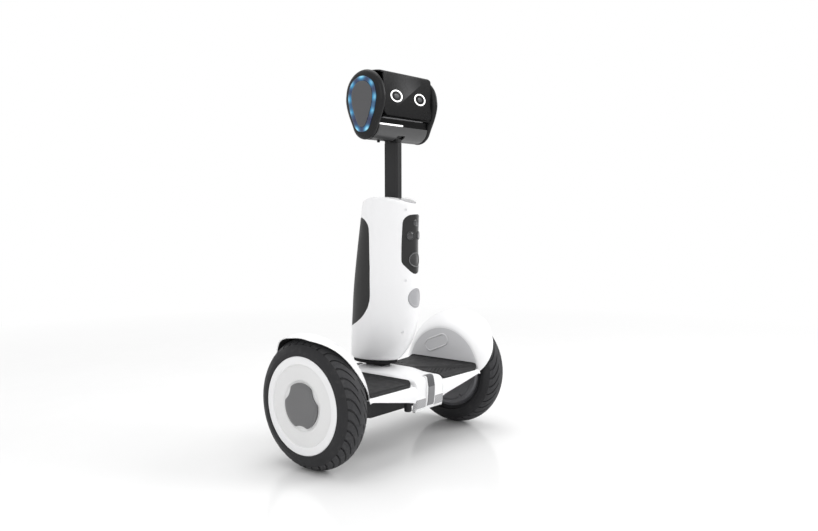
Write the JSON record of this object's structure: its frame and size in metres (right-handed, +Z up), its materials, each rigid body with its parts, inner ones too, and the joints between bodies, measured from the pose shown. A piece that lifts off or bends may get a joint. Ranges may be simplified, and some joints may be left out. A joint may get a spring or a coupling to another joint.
{
  "type": "two wheel robot car",
  "caption": "Two-wheel self-balancing robot car with ride-on foot mats, a leaning torso and a display head on a telescopic pole.",
  "frame": {"origin": "on the floor, straight below the middle of the wheel axle", "axes": "+X along the wheel axle to the right, -Y forwards (the face looks along -Y), +Z up"},
  "size_m": [0.5496, 0.267, 0.8101],
  "materials": {
    "white_shell": "gloss",
    "dark_frame": "matte",
    "dark_cast": "satin",
    "grey_trim": "satin",
    "lens_grey": "gloss",
    "tail_red": "gloss",
    "disc_grey": "gloss",
    "tyre_rubber": "matte",
    "mat_rubber": "matte",
    "soft_rubber": "matte",
    "steel": "brushed",
    "alloy": "satin",
    "bronze": "satin",
    "copper_winding": "satin",
    "battery_wrap": "satin",
    "board_green": "satin",
    "grip_dark": "matte",
    "gloss_black": "gloss",
    "lens_black": "gloss",
    "badge_grey": "satin",
    "pole_dark": "satin",
    "head_shell": "satin",
    "ear_grey": "matte",
    "led_white": "gloss",
    "led_blue": "gloss"
  },
  "bodies": {
    "base": {"chassis_frame": "dark_cast", "belly_cover": "dark_frame", "deck_cover": "white_shell", "spine_cover": "white_shell", "nose_band": "grey_trim", "headlight_lenses": "lens_grey", "tail_light": "tail_red", "nose_posts": "dark_frame", "fender_left": "white_shell", "fender_right": "white_shell", "fender_lights": "disc_grey", "axle_shafts": "steel", "axle_clamps": "alloy", "motor_stators": "copper_winding", "battery_pack": "battery_wrap", "motor_controller": "board_green", "steering_bearings": "bronze", "steering_stops": "soft_rubber", "mat_switches": "dark_frame", "charge_port": "dark_frame", "belly_screws": "steel"},
    "mat_left": {"footmat_left": "mat_rubber"},
    "mat_right": {"footmat_right": "mat_rubber"},
    "charge_door": {"charge_flap": "soft_rubber"},
    "wheel_left": {"tyre_left": "tyre_rubber", "rim_left": "dark_cast", "motor_cover_left": "dark_cast", "wheel_bearings_left": "steel", "hub_cover_left": "white_shell", "hub_cap_left": "grey_trim"},
    "wheel_right": {"tyre_right": "tyre_rubber", "rim_right": "dark_cast", "motor_cover_right": "dark_cast", "wheel_bearings_right": "steel", "hub_cover_right": "white_shell", "hub_cap_right": "grey_trim"},
    "torso": {"steering_stem": "dark_cast", "torso_front_shell": "white_shell", "torso_rear_shell": "white_shell", "side_grips": "grip_dark", "front_panel": "gloss_black", "camera_lenses": "lens_black", "badge_disc": "badge_grey", "accessory_inserts": "bronze", "top_window": "lens_grey", "mast_guide": "dark_frame", "computer_board": "board_green"},
    "button": {"power_button": "gloss_black"},
    "neck": {"neck_pole": "pole_dark", "pan_motor": "alloy"},
    "turret": {"pan_turret": "pole_dark"},
    "head": {"head_front_shell": "head_shell", "head_rear_shell": "head_shell", "face_plate": "gloss_black", "eye_rings": "led_white", "ear_pods": "head_shell", "ear_lights": "led_blue", "ear_panels": "ear_grey", "status_bar": "led_white", "tilt_yoke": "alloy"}
  },
  "joints": [
    {"name": "wheel_left_spin", "type": "hinge", "parent": "base", "child": "wheel_left", "pos_m": [-0.2384, 0, 0.1335], "axis": [1, 0, 0], "continuous": true},
    {"name": "wheel_right_spin", "type": "hinge", "parent": "base", "child": "wheel_right", "pos_m": [0.2384, 0, 0.1335], "axis": [1, 0, 0], "continuous": true},
    {"name": "steer_lean", "type": "hinge", "parent": "base", "child": "torso", "pos_m": [0, 0.04, 0.13], "axis": [0, 1, 0], "range_deg": [-10, 10], "stiffness_Nm_per_rad": 60},
    {"name": "neck_lift", "type": "slide", "parent": "torso", "child": "neck", "axis": [0, 0, 1], "range_m": [-0.09, 0.02], "stiffness_N_per_m": 600, "springref_m": 0.0315},
    {"name": "head_pan", "type": "hinge", "parent": "neck", "child": "turret", "pos_m": [0, -0.0065, 0.65], "axis": [0, 0, 1], "range_deg": [-150, 150]},
    {"name": "head_tilt", "type": "hinge", "parent": "turret", "child": "head", "pos_m": [0, -0.0065, 0.6985], "axis": [-1, 0, 0], "range_deg": [-15, 25]},
    {"name": "power_press", "type": "slide", "parent": "torso", "child": "button", "axis": [0, 1, 0], "range_m": [0, 0.0015], "stiffness_N_per_m": 800, "springref_m": -0.001},
    {"name": "mat_left_press", "type": "slide", "parent": "base", "child": "mat_left", "axis": [0, 0, -1], "range_m": [0, 0.0012], "stiffness_N_per_m": 8000, "springref_m": -0.0005},
    {"name": "mat_right_press", "type": "slide", "parent": "base", "child": "mat_right", "axis": [0, 0, -1], "range_m": [0, 0.0012], "stiffness_N_per_m": 8000, "springref_m": -0.0005},
    {"name": "charge_flap_hinge", "type": "hinge", "parent": "base", "child": "charge_door", "pos_m": [-0.096, 0.1116, 0.1492], "axis": [1, 0, 0], "range_deg": [0, 110]}
  ]
}
